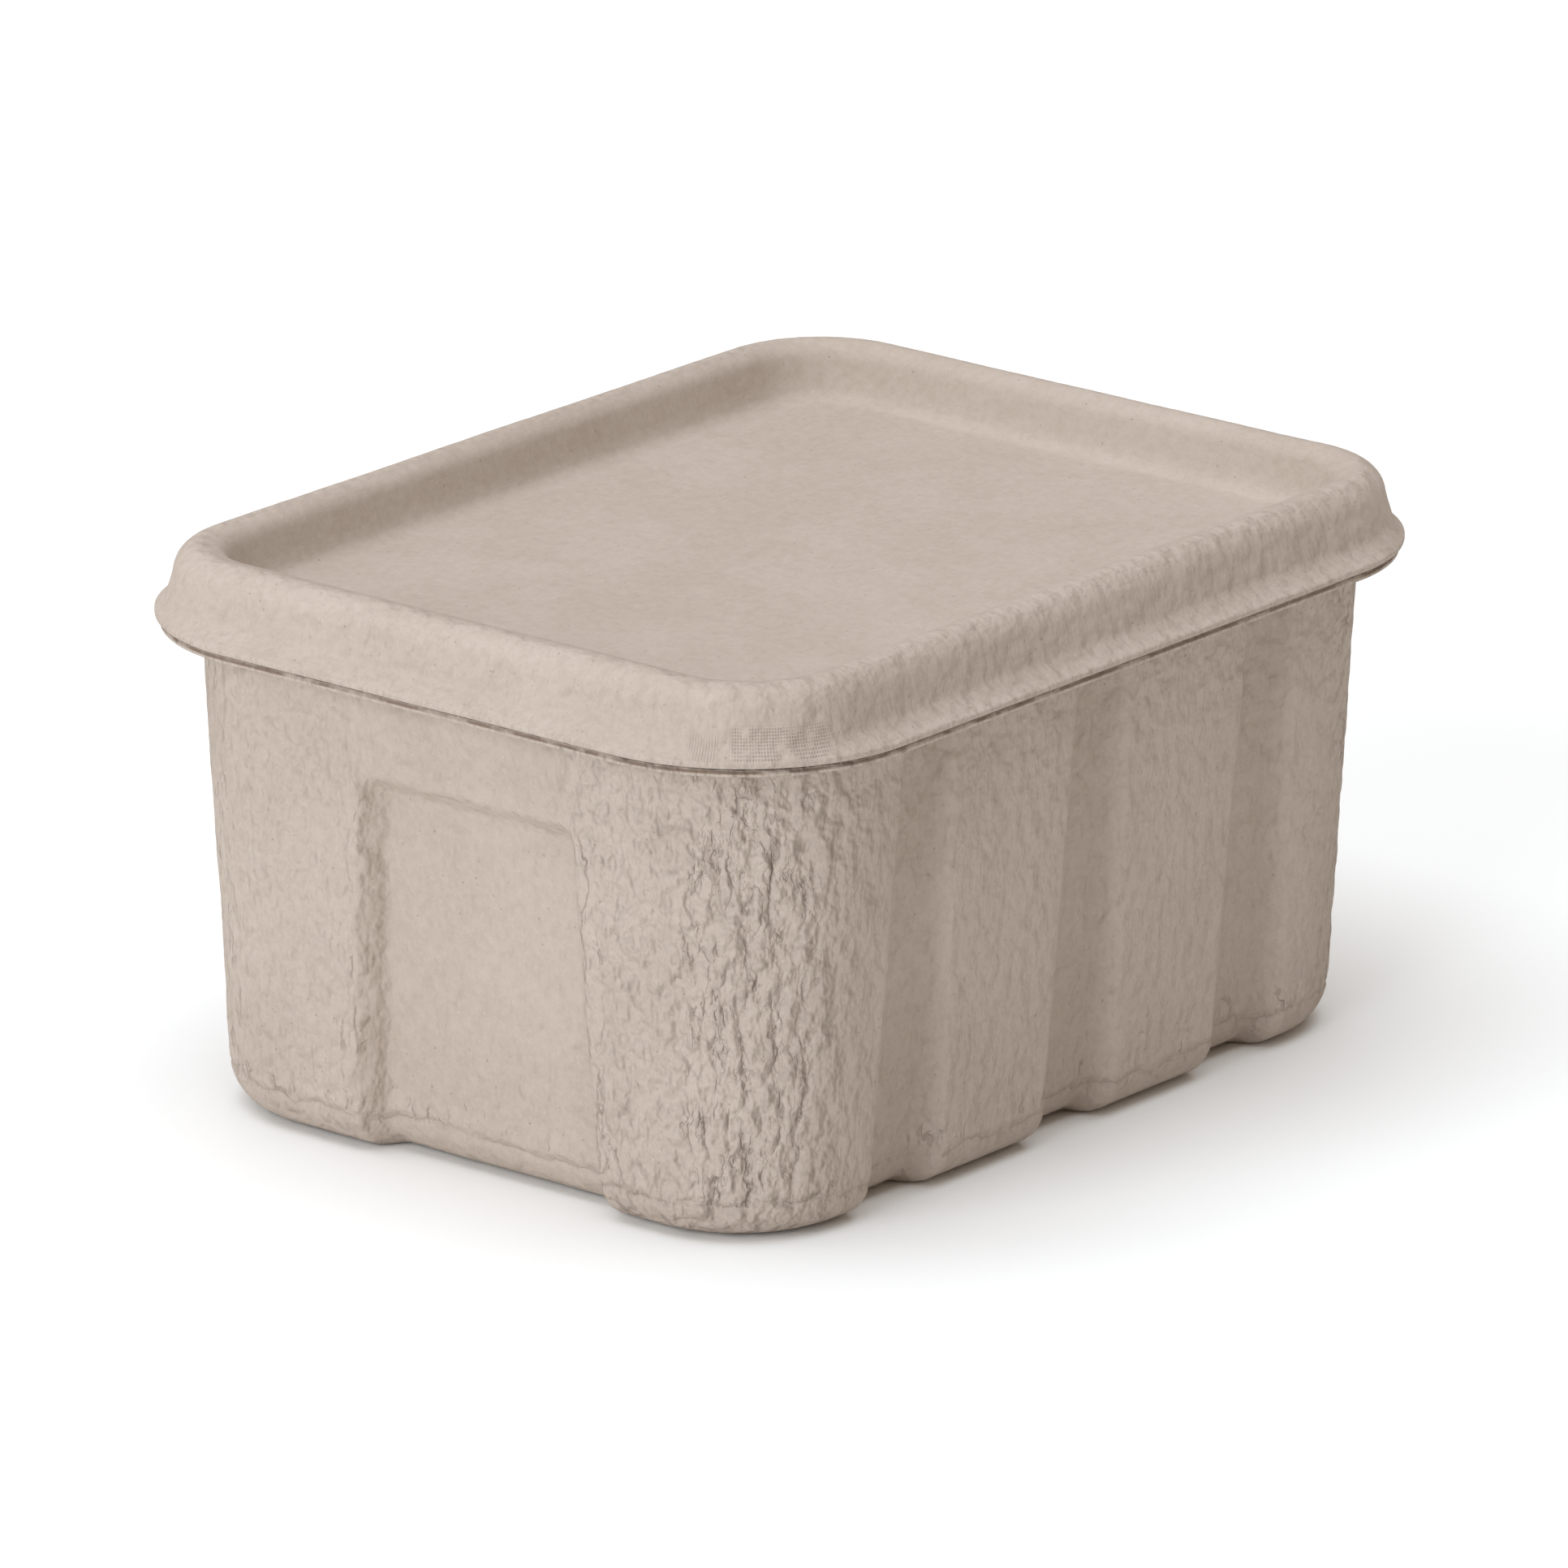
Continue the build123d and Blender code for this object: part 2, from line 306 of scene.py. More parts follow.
# ---- node trees ----------------------------------------------------------------------------------
class Bench:
    """Adds nodes to a tree and joins them. It serves geometry trees and materials alike."""

    def __init__(self, tree):
        self.tree = tree

    def join(self, value, socket):
        """Links a socket, or sets a plain value."""
        if isinstance(value, bpy.types.NodeSocket):
            self.tree.links.new(value, socket)
        else:
            socket.default_value = value

    def add(self, kind, inputs=None, **settings):
        """A new node with its settings made and its inputs joined, by name or number."""
        node = self.tree.nodes.new(kind)
        for key, value in settings.items():
            setattr(node, key, value)
        for key, value in (inputs or {}).items():
            self.join(value, node.inputs[key])
        return node

    def math(self, operation, first, second=0.0, third=0.0, clamp=False):
        """One step of arithmetic."""
        values = {0: first, 1: second, 2: third}
        node = self.add("ShaderNodeMath", values, operation=operation, use_clamp=clamp)
        return node.outputs[0]

    def total(self, *values):
        """The sum of several values."""
        result = values[0]
        for value in values[1:]:
            result = self.math("ADD", result, value)
        return result

    def product(self, *values):
        """The product of several values."""
        result = values[0]
        for value in values[1:]:
            result = self.math("MULTIPLY", result, value)
        return result

    def vector(self, operation, first, second=(0.0, 0.0, 0.0)):
        """One step of vector arithmetic."""
        node = self.add("ShaderNodeVectorMath", {0: first, 1: second}, operation=operation)
        return node.outputs[0]

    def scaled(self, first, factor):
        """A vector times a number."""
        node = self.add("ShaderNodeVectorMath", {0: first, "Scale": factor}, operation="SCALE")
        return node.outputs[0]

    def split(self, vector):
        """The three parts of a vector."""
        return self.add("ShaderNodeSeparateXYZ", {0: vector}).outputs

    def ramp(self, value, low, high):
        """Smooth step from 0 at low to 1 at high; low may be the larger."""
        inputs = {"Value": value, "From Min": low, "From Max": high}
        node = self.add("ShaderNodeMapRange", inputs, interpolation_type="SMOOTHSTEP")
        return node.outputs["Result"]

    def noise(self, place, scale, detail=2.0, roughness=0.5):
        """Cloudy noise from 0 to 1; scale is clouds per metre."""
        inputs = {"Vector": place, "Scale": scale, "Detail": detail, "Roughness": roughness}
        return self.add("ShaderNodeTexNoise", inputs).outputs[0]

    def cloud_shift(self, place, scale, reach):
        """A place moved about by slow noise, by up to about half of reach each way."""
        inputs = {"Vector": place, "Scale": scale, "Detail": 2.0}
        drift = self.add("ShaderNodeTexNoise", inputs).outputs["Color"]
        centred = self.vector("SUBTRACT", drift, (0.5, 0.5, 0.5))
        return self.vector("ADD", place, self.scaled(centred, reach))

    def cells(self, place, scale, feature="DISTANCE_TO_EDGE", dimensions="2D"):
        """Distance to the edge, or to the middle, of scattered cells; scale is cells per metre."""
        inputs = {"Vector": place, "Scale": scale}
        kind = {"feature": feature, "voronoi_dimensions": dimensions}
        return self.add("ShaderNodeTexVoronoi", inputs, **kind)

    def blend(self, share, low, high):
        """Colour that goes from low to high as share goes from 0 to 1."""
        node = self.add("ShaderNodeMix", {0: share}, data_type="RGBA")
        self.join(low, node.inputs[6])
        self.join(high, node.inputs[7])
        return node.outputs[2]


def fold_lines(bench, around, height):
    """How far a spot is from the creases of the large and the small folds: 0 in a crease and 1
    midway between two. Creases run up the wall and sway: around is the way round it."""
    flat = bench.add("ShaderNodeCombineXYZ", {0: around, 1: height}).outputs[0]
    folds = []
    for count, sway, clouds in ((190.0, 3.2, 120.0), (330.0, 5.0, 190.0)):
        upright = bench.vector("MULTIPLY", flat, (1.0, 0.55, 1.0))
        drift = bench.noise(upright, clouds, 4.0, 0.58)
        phase = bench.math("ADD", bench.product(around, count), bench.product(drift, sway))
        off = bench.math("SUBTRACT", bench.math("FRACT", phase), 0.5)
        folds.append(bench.product(bench.math("ABSOLUTE", off), 2.0))
    return folds


def crumpled(bench, place, fold):
    """How crumpled a spot is: the fold field with a ragged border."""
    ragged = bench.math("SUBTRACT", bench.noise(place, 95.0, 2.0), 0.5)
    spread = bench.math("ADD", fold, bench.product(ragged, 1.1, bench.ramp(fold, 0.0, 0.25)))
    return bench.ramp(spread, 0.05, 0.95)


def crease_depth(bench, place, off, clouds):
    """How deep a crease is pressed at a spot: 0 between creases, up to 1 in a deep one."""
    stretched = bench.vector("MULTIPLY", place, (1.0, 1.0, 0.55))
    pressed = bench.ramp(bench.noise(stretched, clouds, 2.0), 0.36, 0.66)
    valley = bench.math("POWER", bench.math("SUBTRACT", 1.0, off), 2.6)
    return bench.product(valley, pressed)


def torn_open(bench, place, off, clouds, low):
    """1 in the thin crack at the bottom of a crease, where the pulp has torn open."""
    stretched = bench.vector("MULTIPLY", place, (1.0, 1.0, 0.45))
    gate = bench.ramp(bench.noise(stretched, clouds, 1.0), low, low + 0.09)
    width = bench.product(gate, 0.15)
    thin = bench.math("SUBTRACT", width, off)
    return bench.ramp(thin, 0.0, 0.06)


def hem_line(bench, place, height):
    """Distance from the wavy crease where the wall meets the bottom rounding."""
    drift = bench.noise(place, 95.0, 5.0, 0.6)
    crease = bench.math("MULTIPLY_ADD", drift, 7.0 * MM, 3.8 * MM)
    off_line = bench.math("ABSOLUTE", bench.math("SUBTRACT", height, crease))
    return off_line


def geometry_tree(name, sockets):
    """A new geometry tree with its named inputs, and the bench, input node and output node."""
    tree = bpy.data.node_groups.new(name, "GeometryNodeTree")
    tree.is_modifier = True
    tree.interface.new_socket("Geometry", in_out="INPUT", socket_type="NodeSocketGeometry")
    for socket, kind, default in sockets:
        item = tree.interface.new_socket(socket, in_out="INPUT", socket_type="NodeSocket" + kind)
        if default is not None:
            item.default_value = default
    tree.interface.new_socket("Geometry", in_out="OUTPUT", socket_type="NodeSocketGeometry")
    bench = Bench(tree)
    return bench, bench.add("NodeGroupInput"), bench.add("NodeGroupOutput")


def end_tree(bench, geometry, material, output):
    """Ends a geometry tree as every one here ends: smooth, made real, and given its material."""
    smooth = bench.add("GeometryNodeSetShadeSmooth", {"Geometry": geometry})
    real = bench.add("GeometryNodeRealizeInstances", {"Geometry": smooth.outputs[0]})
    inputs = {"Geometry": real.outputs[0], "Material": material}
    painted = bench.add("GeometryNodeSetMaterial", inputs)
    bench.join(painted.outputs[0], output.inputs[0])


def named_field(bench, name):
    """A number that each point of the sheet carries."""
    node = bench.add("GeometryNodeInputNamedAttribute", {"Name": name}, data_type="FLOAT")
    return node.outputs["Attribute"]


def pulp_skin_tree():
    """Tree that gives a smooth sheet the waves, folds and grain of dried pulp."""
    sockets = [
        ("Wave height", "Float", 0.3 * MM),
        ("Fold height", "Float", 0.5 * MM),
        ("Grain height", "Float", 0.07 * MM),
        ("Seed", "Int", 1),
        ("Pulp", "Material", None),
    ]
    bench, given, output = geometry_tree("pulp skin", sockets)
    here = bench.add("GeometryNodeInputPosition").outputs[0]
    facing = bench.add("GeometryNodeInputNormal").outputs[0]
    place = bench.vector("ADD", here, bench.scaled((3.7, 1.9, 2.3), given.outputs["Seed"]))
    free = named_field(bench, "free")
    fold = crumpled(bench, place, named_field(bench, "fold"))
    hem = named_field(bench, "hem")
    wave = bench.math("SUBTRACT", bench.noise(place, 34.0, 1.0), 0.5)
    wave = bench.product(wave, 2.0, given.outputs["Wave height"])
    grain = bench.math("SUBTRACT", bench.noise(place, 430.0, 2.0), 0.5)
    grain = bench.product(grain, 2.0, given.outputs["Grain height"])
    large, small = fold_lines(bench, named_field(bench, "around"), bench.split(here)[2])
    large_crease = crease_depth(bench, place, large, 150.0)
    small_crease = crease_depth(bench, place, small, 230.0)
    lift = bench.math("SUBTRACT", bench.noise(place, 230.0, 2.0), 0.5)
    heap = bench.total(
        bench.product(large_crease, -1.2),
        bench.product(small_crease, -0.6),
        bench.product(lift, 1.6),
        0.3,
    )
    heap = bench.product(heap, fold, given.outputs["Fold height"])
    off_line = hem_line(bench, place, bench.split(here)[2])
    crease = bench.ramp(off_line, 1.3 * MM, 0.0)
    crease = bench.product(crease, hem, given.outputs["Fold height"], -0.8)
    push = bench.product(bench.total(wave, grain, heap, crease), free)
    moved = bench.add(
        "GeometryNodeSetPosition",
        {"Geometry": given.outputs[0], "Offset": bench.scaled(facing, push)},
    )
    # how deep the large creases are, kept for the material's painted shade in them and to keep its painted
    # highlight off them
    valley = bench.product(large_crease, fold)
    noted = bench.add(
        "GeometryNodeStoreNamedAttribute",
        {"Geometry": moved.outputs[0], "Name": "valley", "Value": valley},
        data_type="FLOAT",
        domain="POINT",
    )
    end_tree(bench, noted.outputs[0], given.outputs["Pulp"], output)
    return bench.tree


def egg_cell_tree():
    """Tree that presses the cups, posts and basin of the cell tray into a flat sheet."""
    sockets = [
        ("Pitch along", "Float", 43.4 * MM),
        ("Pitch across", "Float", 44.0 * MM),
        ("Cup floor", "Float", 29.5 * MM),
        ("Cup mouth radius", "Float", 19.4 * MM),
        ("Saddle height", "Float", 51.5 * MM),
        ("Post foot radius", "Float", 8.6 * MM),
        ("Post top radius", "Float", 3.4 * MM),
        ("Rim height", "Float", 75.9 * MM),
        ("Basin inset", "Float", 5.9 * MM),
        ("Basin lean", "Float", 1.5 * MM),
        ("Pulp", "Material", None),
    ]
    bench, given, output = geometry_tree("egg cells", sockets)
    size = given.outputs
    here = bench.add("GeometryNodeInputPosition").outputs[0]
    along, across, _ = bench.split(here)
    inset = named_field(bench, "inset")

    def from_nearest(value, pitch, start):
        """Distance, with its sign, from the nearest of the places a pitch apart."""
        turns = bench.math("FRACT", bench.math("ADD", bench.math("DIVIDE", value, pitch), start))
        return bench.product(bench.math("SUBTRACT", turns, 0.5), pitch)

    def apart(first, second):
        """Distance in plan from two sides."""
        squares = bench.total(bench.product(first, first), bench.product(second, second))
        return bench.math("SQRT", squares)

    # cups: a rounded bowl whose side stands nearly upright at the mouth
    cup_x = from_nearest(along, size["Pitch along"], 0.0)
    cup_y = from_nearest(across, size["Pitch across"], 0.5)
    width = bench.math("DIVIDE", apart(cup_x, cup_y), size["Cup mouth radius"])
    outward = bench.math("MULTIPLY_ADD", width, 1 / 0.6, -0.4 / 0.6, clamp=True)
    bowl = bench.math("SUBTRACT", 1.0, bench.math("POWER", outward, 1.6))
    share = bench.math("SUBTRACT", 1.0, bench.math("SQRT", bench.math("MAXIMUM", bowl, 0.0)))
    depth = bench.math("SUBTRACT", size["Saddle height"], size["Cup floor"])
    cup = bench.math("MULTIPLY_ADD", share, depth, size["Cup floor"])
    # posts: between the cups only, not along the basin's wall
    post_x = from_nearest(along, size["Pitch along"], 0.5)
    post_y = from_nearest(across, size["Pitch across"], 0.0)
    from_post = apart(post_x, post_y)
    slope = bench.math("SUBTRACT", size["Post foot radius"], size["Post top radius"])
    climb = bench.math("SUBTRACT", size["Post foot radius"], from_post)
    climb = bench.math("DIVIDE", climb, slope, clamp=True)
    inner = bench.math("LESS_THAN", bench.math("ABSOLUTE", along), bench.product(size["Pitch along"], 1.5))
    tall = bench.math("SUBTRACT", size["Rim height"], size["Saddle height"])
    post = bench.product(climb, inner, tall)
    raised = bench.math("ADD", cup, post)
    # basin: the wall that carries the cups from the rim
    top = size["Basin inset"]
    foot = bench.math("ADD", top, bench.math("ADD", size["Basin lean"], 0.3 * MM))
    to_rim = bench.math("SUBTRACT", size["Rim height"], raised)
    wall = bench.product(bench.ramp(inset, foot, top), to_rim)
    height = bench.math("MINIMUM", bench.math("ADD", raised, wall), size["Rim height"])
    drop = bench.add("ShaderNodeCombineXYZ", {0: along, 1: across, 2: height}).outputs[0]
    pressed = bench.add("GeometryNodeSetPosition", {"Geometry": given.outputs[0], "Position": drop})
    end_tree(bench, pressed.outputs[0], given.outputs["Pulp"], output)
    return bench.tree


# ---- pulp finish -----------------------------------------------------------------------------
def pulp_material(name, finish, shift, rough, smooth, screen_corner=None):
    """Dried paper pulp: cloudy colour, stray fibres, pits, torn folds and fuzzy cut edges, with painted
    shade in the creases, cracks, pits and the slit under the lid, and painted highlights on the fold
    crowns and the pale flecks. shift moves the patterns along, rough is how deep the skin's grit and
    pock marks are, and smooth is the share of the pock marks that is left where the skin isn't coarse."""
    material = bpy.data.materials.new(name)
    material.use_nodes = True
    material.node_tree.nodes.clear()
    bench = Bench(material.node_tree)
    here = bench.add("ShaderNodeTexCoord").outputs["Object"]
    place = bench.vector("ADD", here, (3.7 * shift, 1.9 * shift, 2.3 * shift))
    fold = bench.add("ShaderNodeAttribute", attribute_name="fold").outputs["Fac"]
    fold = crumpled(bench, place, fold)
    valley = bench.add("ShaderNodeAttribute", attribute_name="valley").outputs["Fac"]
    hem = bench.add("ShaderNodeAttribute", attribute_name="hem").outputs["Fac"]
    torn = bench.add("ShaderNodeAttribute", attribute_name="torn").outputs["Fac"]
    coarse = bench.add("ShaderNodeAttribute", attribute_name="coarse").outputs["Fac"]

    # colour: slow clouds, flecks a millimetre or two across, and short fibres
    clouds = bench.noise(place, 48.0, 3.0)
    flecks = bench.noise(place, 520.0, 4.0, 0.62)
    lay_a = bench.noise(bench.vector("MULTIPLY", place, (0.16, 1.0, 0.7)), 2600.0, 2.0)
    lay_b = bench.noise(bench.vector("MULTIPLY", place, (1.0, 0.2, 0.25)), 2300.0, 2.0)
    fibres = bench.math("MULTIPLY_ADD", bench.math("ADD", lay_a, lay_b), 0.5, 0.0)
    tone = bench.total(
        bench.product(bench.ramp(clouds, 0.36, 0.66), 0.26),
        bench.product(bench.ramp(flecks, 0.34, 0.70), 0.34),
        bench.product(bench.ramp(fibres, 0.40, 0.62), 0.22),
    )
    base = bench.blend(tone, (*finish.body, 1.0), (*finish.shade, 1.0))
    # painted shade in the crease valleys, and a painted highlight on the crowns of the folds between them
    base = bench.blend(bench.product(valley, 0.16), base, (*finish.shade, 1.0))
    crown_highlight = bench.product(bench.math("SUBTRACT", 1.0, valley), bench.ramp(fold, 0.0, 0.6), 0.12)
    base = bench.blend(crown_highlight, base, (*finish.fibre_and_highlight, 1.0))

    # stray dark fibres, pale flecks painted as glints, and pits with painted shade, each in some of the
    # scattered cells
    specks = []
    for scale, share, reach in ((420.0, 0.45, 0.12), (520.0, 0.60, 0.12), (560.0, 0.55, 0.20)):
        strewn = bench.cells(bench.cloud_shift(place, 900.0, 1.1 * MM), scale, "F1", "3D")
        chosen = bench.ramp(bench.split(strewn.outputs["Color"])[0], share, share + 0.06)
        spot = bench.ramp(strewn.outputs["Distance"], reach, 0.3 * reach)
        specks.append(bench.product(spot, chosen))
    speck, pale, pit = specks
    base = bench.blend(bench.product(speck, 0.60), base, (*finish.speck, 1.0))
    # painted glints: the pale flecks
    base = bench.blend(bench.product(pale, 0.55), base, (*finish.fibre_and_highlight, 1.0))
    # painted shade in the pits where the skin is coarse
    base = bench.blend(bench.product(pit, coarse, 0.12), base, (*finish.speck, 1.0))

    # cracks: painted shade in thin lines where the creases have torn, and along the hem
    around = bench.add("ShaderNodeAttribute", attribute_name="around").outputs["Fac"]
    height = bench.split(here)[2]
    large, small = fold_lines(bench, around, height)
    strength = bench.ramp(fold, 0.02, 0.70)
    line = bench.product(torn_open(bench, place, large, 150.0, 0.49), bench.ramp(fold, 0.04, 0.2))
    fine_line = bench.product(torn_open(bench, place, small, 230.0, 0.52), strength, 0.6)
    off_line = hem_line(bench, place, height)
    hem_gate = bench.ramp(bench.noise(place, 75.0, 2.0), 0.42, 0.50)
    hem_crack = bench.product(bench.ramp(off_line, 0.36 * MM, 0.05 * MM), hem, hem_gate)
    crack = bench.math("MAXIMUM", bench.math("MAXIMUM", line, fine_line), hem_crack)
    base = bench.blend(bench.product(crack, 0.30), base, (*finish.crack, 1.0))

    # torn edge: loose pale fibres with dark gaps between them
    shreds = bench.noise(bench.vector("MULTIPLY", place, (1.0, 1.0, 0.5)), 1500.0, 3.0, 0.7)
    frayed = bench.blend(bench.ramp(shreds, 0.38, 0.60), (*finish.speck, 1.0), (*finish.fibre_and_highlight, 1.0))
    base = bench.blend(bench.product(torn, 0.20), base, frayed)

    # the shadowed slit between the lip and the flange, open in some places and shut in others
    gap = bench.add("ShaderNodeAttribute", attribute_name="gap").outputs["Fac"]
    open_here = bench.ramp(bench.noise(place, 130.0, 3.0), 0.40, 0.54)
    slit = bench.product(bench.ramp(gap, 0.15, 0.6), bench.math("MULTIPLY_ADD", open_here, 0.6, 0.3))
    base = bench.blend(slit, base, (*finish.crack, 1.0))

    # relief, in metres
    large_crease = crease_depth(bench, place, large, 150.0)
    small_crease = crease_depth(bench, place, small, 230.0)
    grit = bench.total(
        bench.product(flecks, 0.16 * MM),
        bench.product(bench.noise(place, 1500.0, 3.0, 0.6), 0.075 * MM),
        bench.product(fibres, 0.05 * MM),
    )
    pocks = bench.noise(bench.vector("MULTIPLY", place, (1.0, 1.0, 0.7)), 330.0, 2.0, 0.42)
    lumps = bench.noise(place, 210.0, 2.0)
    relief = bench.total(
        bench.product(grit, rough),
        bench.product(pocks, 2.0 * rough * MM, bench.math("MULTIPLY_ADD", coarse, 1.0, smooth)),
        bench.product(lumps, 3.0 * rough * smooth * MM, coarse),
        bench.product(large_crease, strength, -0.55 * MM),
        bench.product(small_crease, strength, -0.32 * MM),
        bench.product(crack, -0.12 * MM),
        bench.product(bench.ramp(off_line, 1.4 * MM, 0.0), hem, -0.45 * MM),
        bench.product(pit, coarse, -0.08 * MM),
        bench.product(torn, shreds, 0.10 * MM),
    )
    if screen_corner is not None:
        weave = screen_marks(bench, here, screen_corner)
        relief = bench.math("ADD", relief, bench.product(weave, 0.16 * MM))
        base = bench.blend(bench.product(weave, 0.40), base, (*finish.shade, 1.0))
    bump = bench.add("ShaderNodeBump", {"Height": relief, "Strength": 1.0, "Distance": 1.0})
    shader = bench.add(
        "ShaderNodeBsdfPrincipled",
        {"Base Color": base, "Roughness": 0.93, "Specular IOR Level": 0.18, "Normal": bump.outputs[0]},
    )
    target = bench.add("ShaderNodeOutputMaterial")
    bench.join(shader.outputs[0], target.inputs["Surface"])
    return material


def screen_marks(bench, here, corner):
    """Weave that the forming screen has left on the flare at one corner: upright lines first,
    then a woven patch. corner is the middle of the corner's arc and its radius."""
    middle_x, middle_y, radius = corner
    along, across, height = bench.split(here)
    side = bench.math("SUBTRACT", middle_x, along)
    front = bench.math("SUBTRACT", middle_y, across)
    turn = bench.math("ARCTAN2", front, side)
    pitch = 0.54 * MM
    full_turn = 2 * np.pi
    upright = bench.math("SINE", bench.product(turn, radius * full_turn / pitch))
    level = bench.math("SINE", bench.product(height, full_turn / pitch))
    lines = bench.ramp(upright, -0.4, 0.8)
    woven = bench.product(lines, bench.ramp(level, -0.4, 0.8))
    near_lines = bench.product(bench.ramp(turn, 0.38, 0.42), bench.ramp(turn, 0.58, 0.54))
    near_weave = bench.product(bench.ramp(turn, 0.60, 0.66), bench.ramp(turn, 1.22, 1.10))
    patch = bench.total(bench.product(lines, near_lines, 0.6), bench.product(woven, near_weave))
    low = float(lid_low[2])
    band = bench.product(
        bench.ramp(height, low + 1.0 * MM, low + 1.3 * MM),
        bench.ramp(height, low + 7.5 * MM, low + 6.0 * MM),
    )
    squares = bench.total(bench.product(side, side), bench.product(front, front))
    on_rim = bench.ramp(bench.math("SQRT", squares), 0.70 * radius, 0.76 * radius)
    worn = bench.ramp(bench.noise(here, 260.0, 2.0), 0.36, 0.52)
    return bench.product(patch, band, worn, on_rim)


# ---- the pieces ------------------------------------------------------------------------------
def tub_points(size):
    """Points and fields of the tub's sheet, from the middle of the base over the rim to the floor."""
    half = np.array([lid_high[0], lid_high[1]])
    lip = float(lid_low[2])
    top = float(tub_high[2])

    def wall_row(height, skin, pull_in=0.0, sunk=1.0, free=1.0):
        """A row of the wall at a height; skin is how deep inside the sheet it lies."""
        share = height / lip
        inset = size.base_inset + (size.top_inset - size.base_inset) * share + skin + pull_in
        corner = size.base_corner + (size.top_corner - size.base_corner) * share - skin - pull_in
        return (inset, height, corner, sunk, free, skin)

    def base_rows(skin):
        """Rows of the flat base, from its middle out to where the rounding starts."""
        edge = wall_row(skin, skin, size.bottom_round - skin)
        rows = []
        for share in (1.0, 0.8, 0.6, 0.42, 0.28, 0.18, 0.1, 0.04):
            inset = edge[0] + share * (half[1] - edge[0])
            corner = max(edge[2] - (inset - edge[0]), 0.0)
            rise = size.base_rise * float(ease(3.0 * share))
            sunk = float(ease(1.0 - 5.0 * share))
            rows.append((inset, skin + rise, corner, sunk, 0.3, skin))
        return rows

    def round_rows(skin, steps):
        """Rows of the rounding from the base up to the wall."""
        bend = size.bottom_round - skin
        rows = []
        for angle in np.linspace(0.0, np.pi / 2, steps):
            pull_in = bend * (1 - np.sin(angle))
            free = float(ease(angle / 0.8))
            rows.append(wall_row(skin + bend * (1 - np.cos(angle)), skin, pull_in, 1.0, free))
        return rows

    flange_low = size.flange_top - size.wall
    fillet = 1.5 * MM
    edge_round = 0.45 * MM
    rows = base_rows(0.0) + round_rows(0.0, 11)
    for height in np.linspace(size.bottom_round, flange_low - fillet, 99)[1:]:
        under_lip = 1.0 - 0.8 * float(ease((height - flange_low + 8 * MM) / (8 * MM)))
        rows.append(wall_row(height, 0.0, 0.0, 1.0, under_lip))
    outer_count = len(rows)
    # fillet under the flange, and the flange's edge
    wall_top = rows[-1]
    for angle in QUARTER[1:] * np.pi / 2:
        inset = wall_top[0] - fillet * (1 - np.cos(angle))
        height = wall_top[1] + fillet * np.sin(angle)
        corner = wall_top[2] + fillet * (1 - np.cos(angle))
        rows.append((inset, height, corner, float(np.cos(angle)), 0.2, 0.0))
    flange_corner = lid_corner() - size.flange_inset
    rim_rows = [
        (size.flange_inset + 2.4 * MM, flange_low, flange_corner - 2.4 * MM),
        (size.flange_inset + edge_round, flange_low, flange_corner - edge_round),
        (size.flange_inset + 0.1 * MM, flange_low + 0.3 * edge_round, flange_corner - 0.1 * MM),
        (size.flange_inset, flange_low + edge_round, flange_corner),
        (size.flange_inset, size.flange_top - edge_round, flange_corner),
        (size.flange_inset + 0.1 * MM, size.flange_top - 0.3 * edge_round, flange_corner - 0.1 * MM),
        (size.flange_inset + edge_round, size.flange_top, flange_corner - edge_round),
        (size.flange_inset + 2.8 * MM, size.flange_top, flange_corner - 2.8 * MM),
        (size.top_inset - 0.9 * MM, size.flange_top, size.top_corner + 0.9 * MM),
        (size.top_inset - 0.2 * MM, size.flange_top + 0.35 * MM, size.top_corner + 0.2 * MM),
        (size.top_inset, size.flange_top + 1.2 * MM, size.top_corner),
        (size.top_inset - 0.2 * MM, top - 0.9 * MM, size.top_corner),
    ]
    for inset, height, corner in rim_rows:
        rows.append((inset, height, corner, 0.0, 0.12, 0.0))
    # rounded top of the bead, then down inside it
    bead = 0.5 * size.wall
    for angle in np.linspace(0.0, np.pi, 7):
        inset = size.top_inset - 0.3 * MM + bead * (1 - np.cos(angle))
        corner = size.top_corner - bead * (1 - np.cos(angle))
        rows.append((inset, top - bead * (1 - np.sin(angle)), corner, 0.0, 0.1, size.wall))
    # inside, the flutes and panels fade in below the flange's upper face
    inner = size.wall
    for above, sunk in ((1.5, 0.0), (0.5, 0.0), (0.1, 0.3), (-0.3, 0.75), (-1.1, 1.0)):
        rows.append(wall_row(size.flange_top + above * MM, inner, 0.0, sunk, 0.15))
    inner_top = size.flange_top - 3.7 * MM
    for height in np.linspace(inner_top, size.bottom_round, 24):
        rows.append(wall_row(height, inner, 0.0, 1.0, 0.25))
    rows += round_rows(inner, 7)[::-1][1:]
    rows += base_rows(inner)[::-1]
    rows = np.array(rows)
    # the sheet's inner side moves too little to cut through it
    rows[outer_count:, 4] = np.minimum(rows[outer_count:, 4], 0.25)

    def long_gap(place):
        """Gap between columns along the long wall: fine at the sides of the flutes."""
        off = abs(place - size.flute_pitch * round(place / size.flute_pitch))
        return (0.85 if 3 * MM < off < 12.5 * MM else 1.7) * MM

    def short_gap(place):
        """Gap between columns along the short wall: fine beside the sunk panel."""
        return (0.62 if 14 * MM < place < 39 * MM else 2.2) * MM

    def corner_gap(angle):
        """Gap between columns round a corner, in degrees: fine on the crumpled column."""
        return 0.92 if angle < 26.0 else 1.7

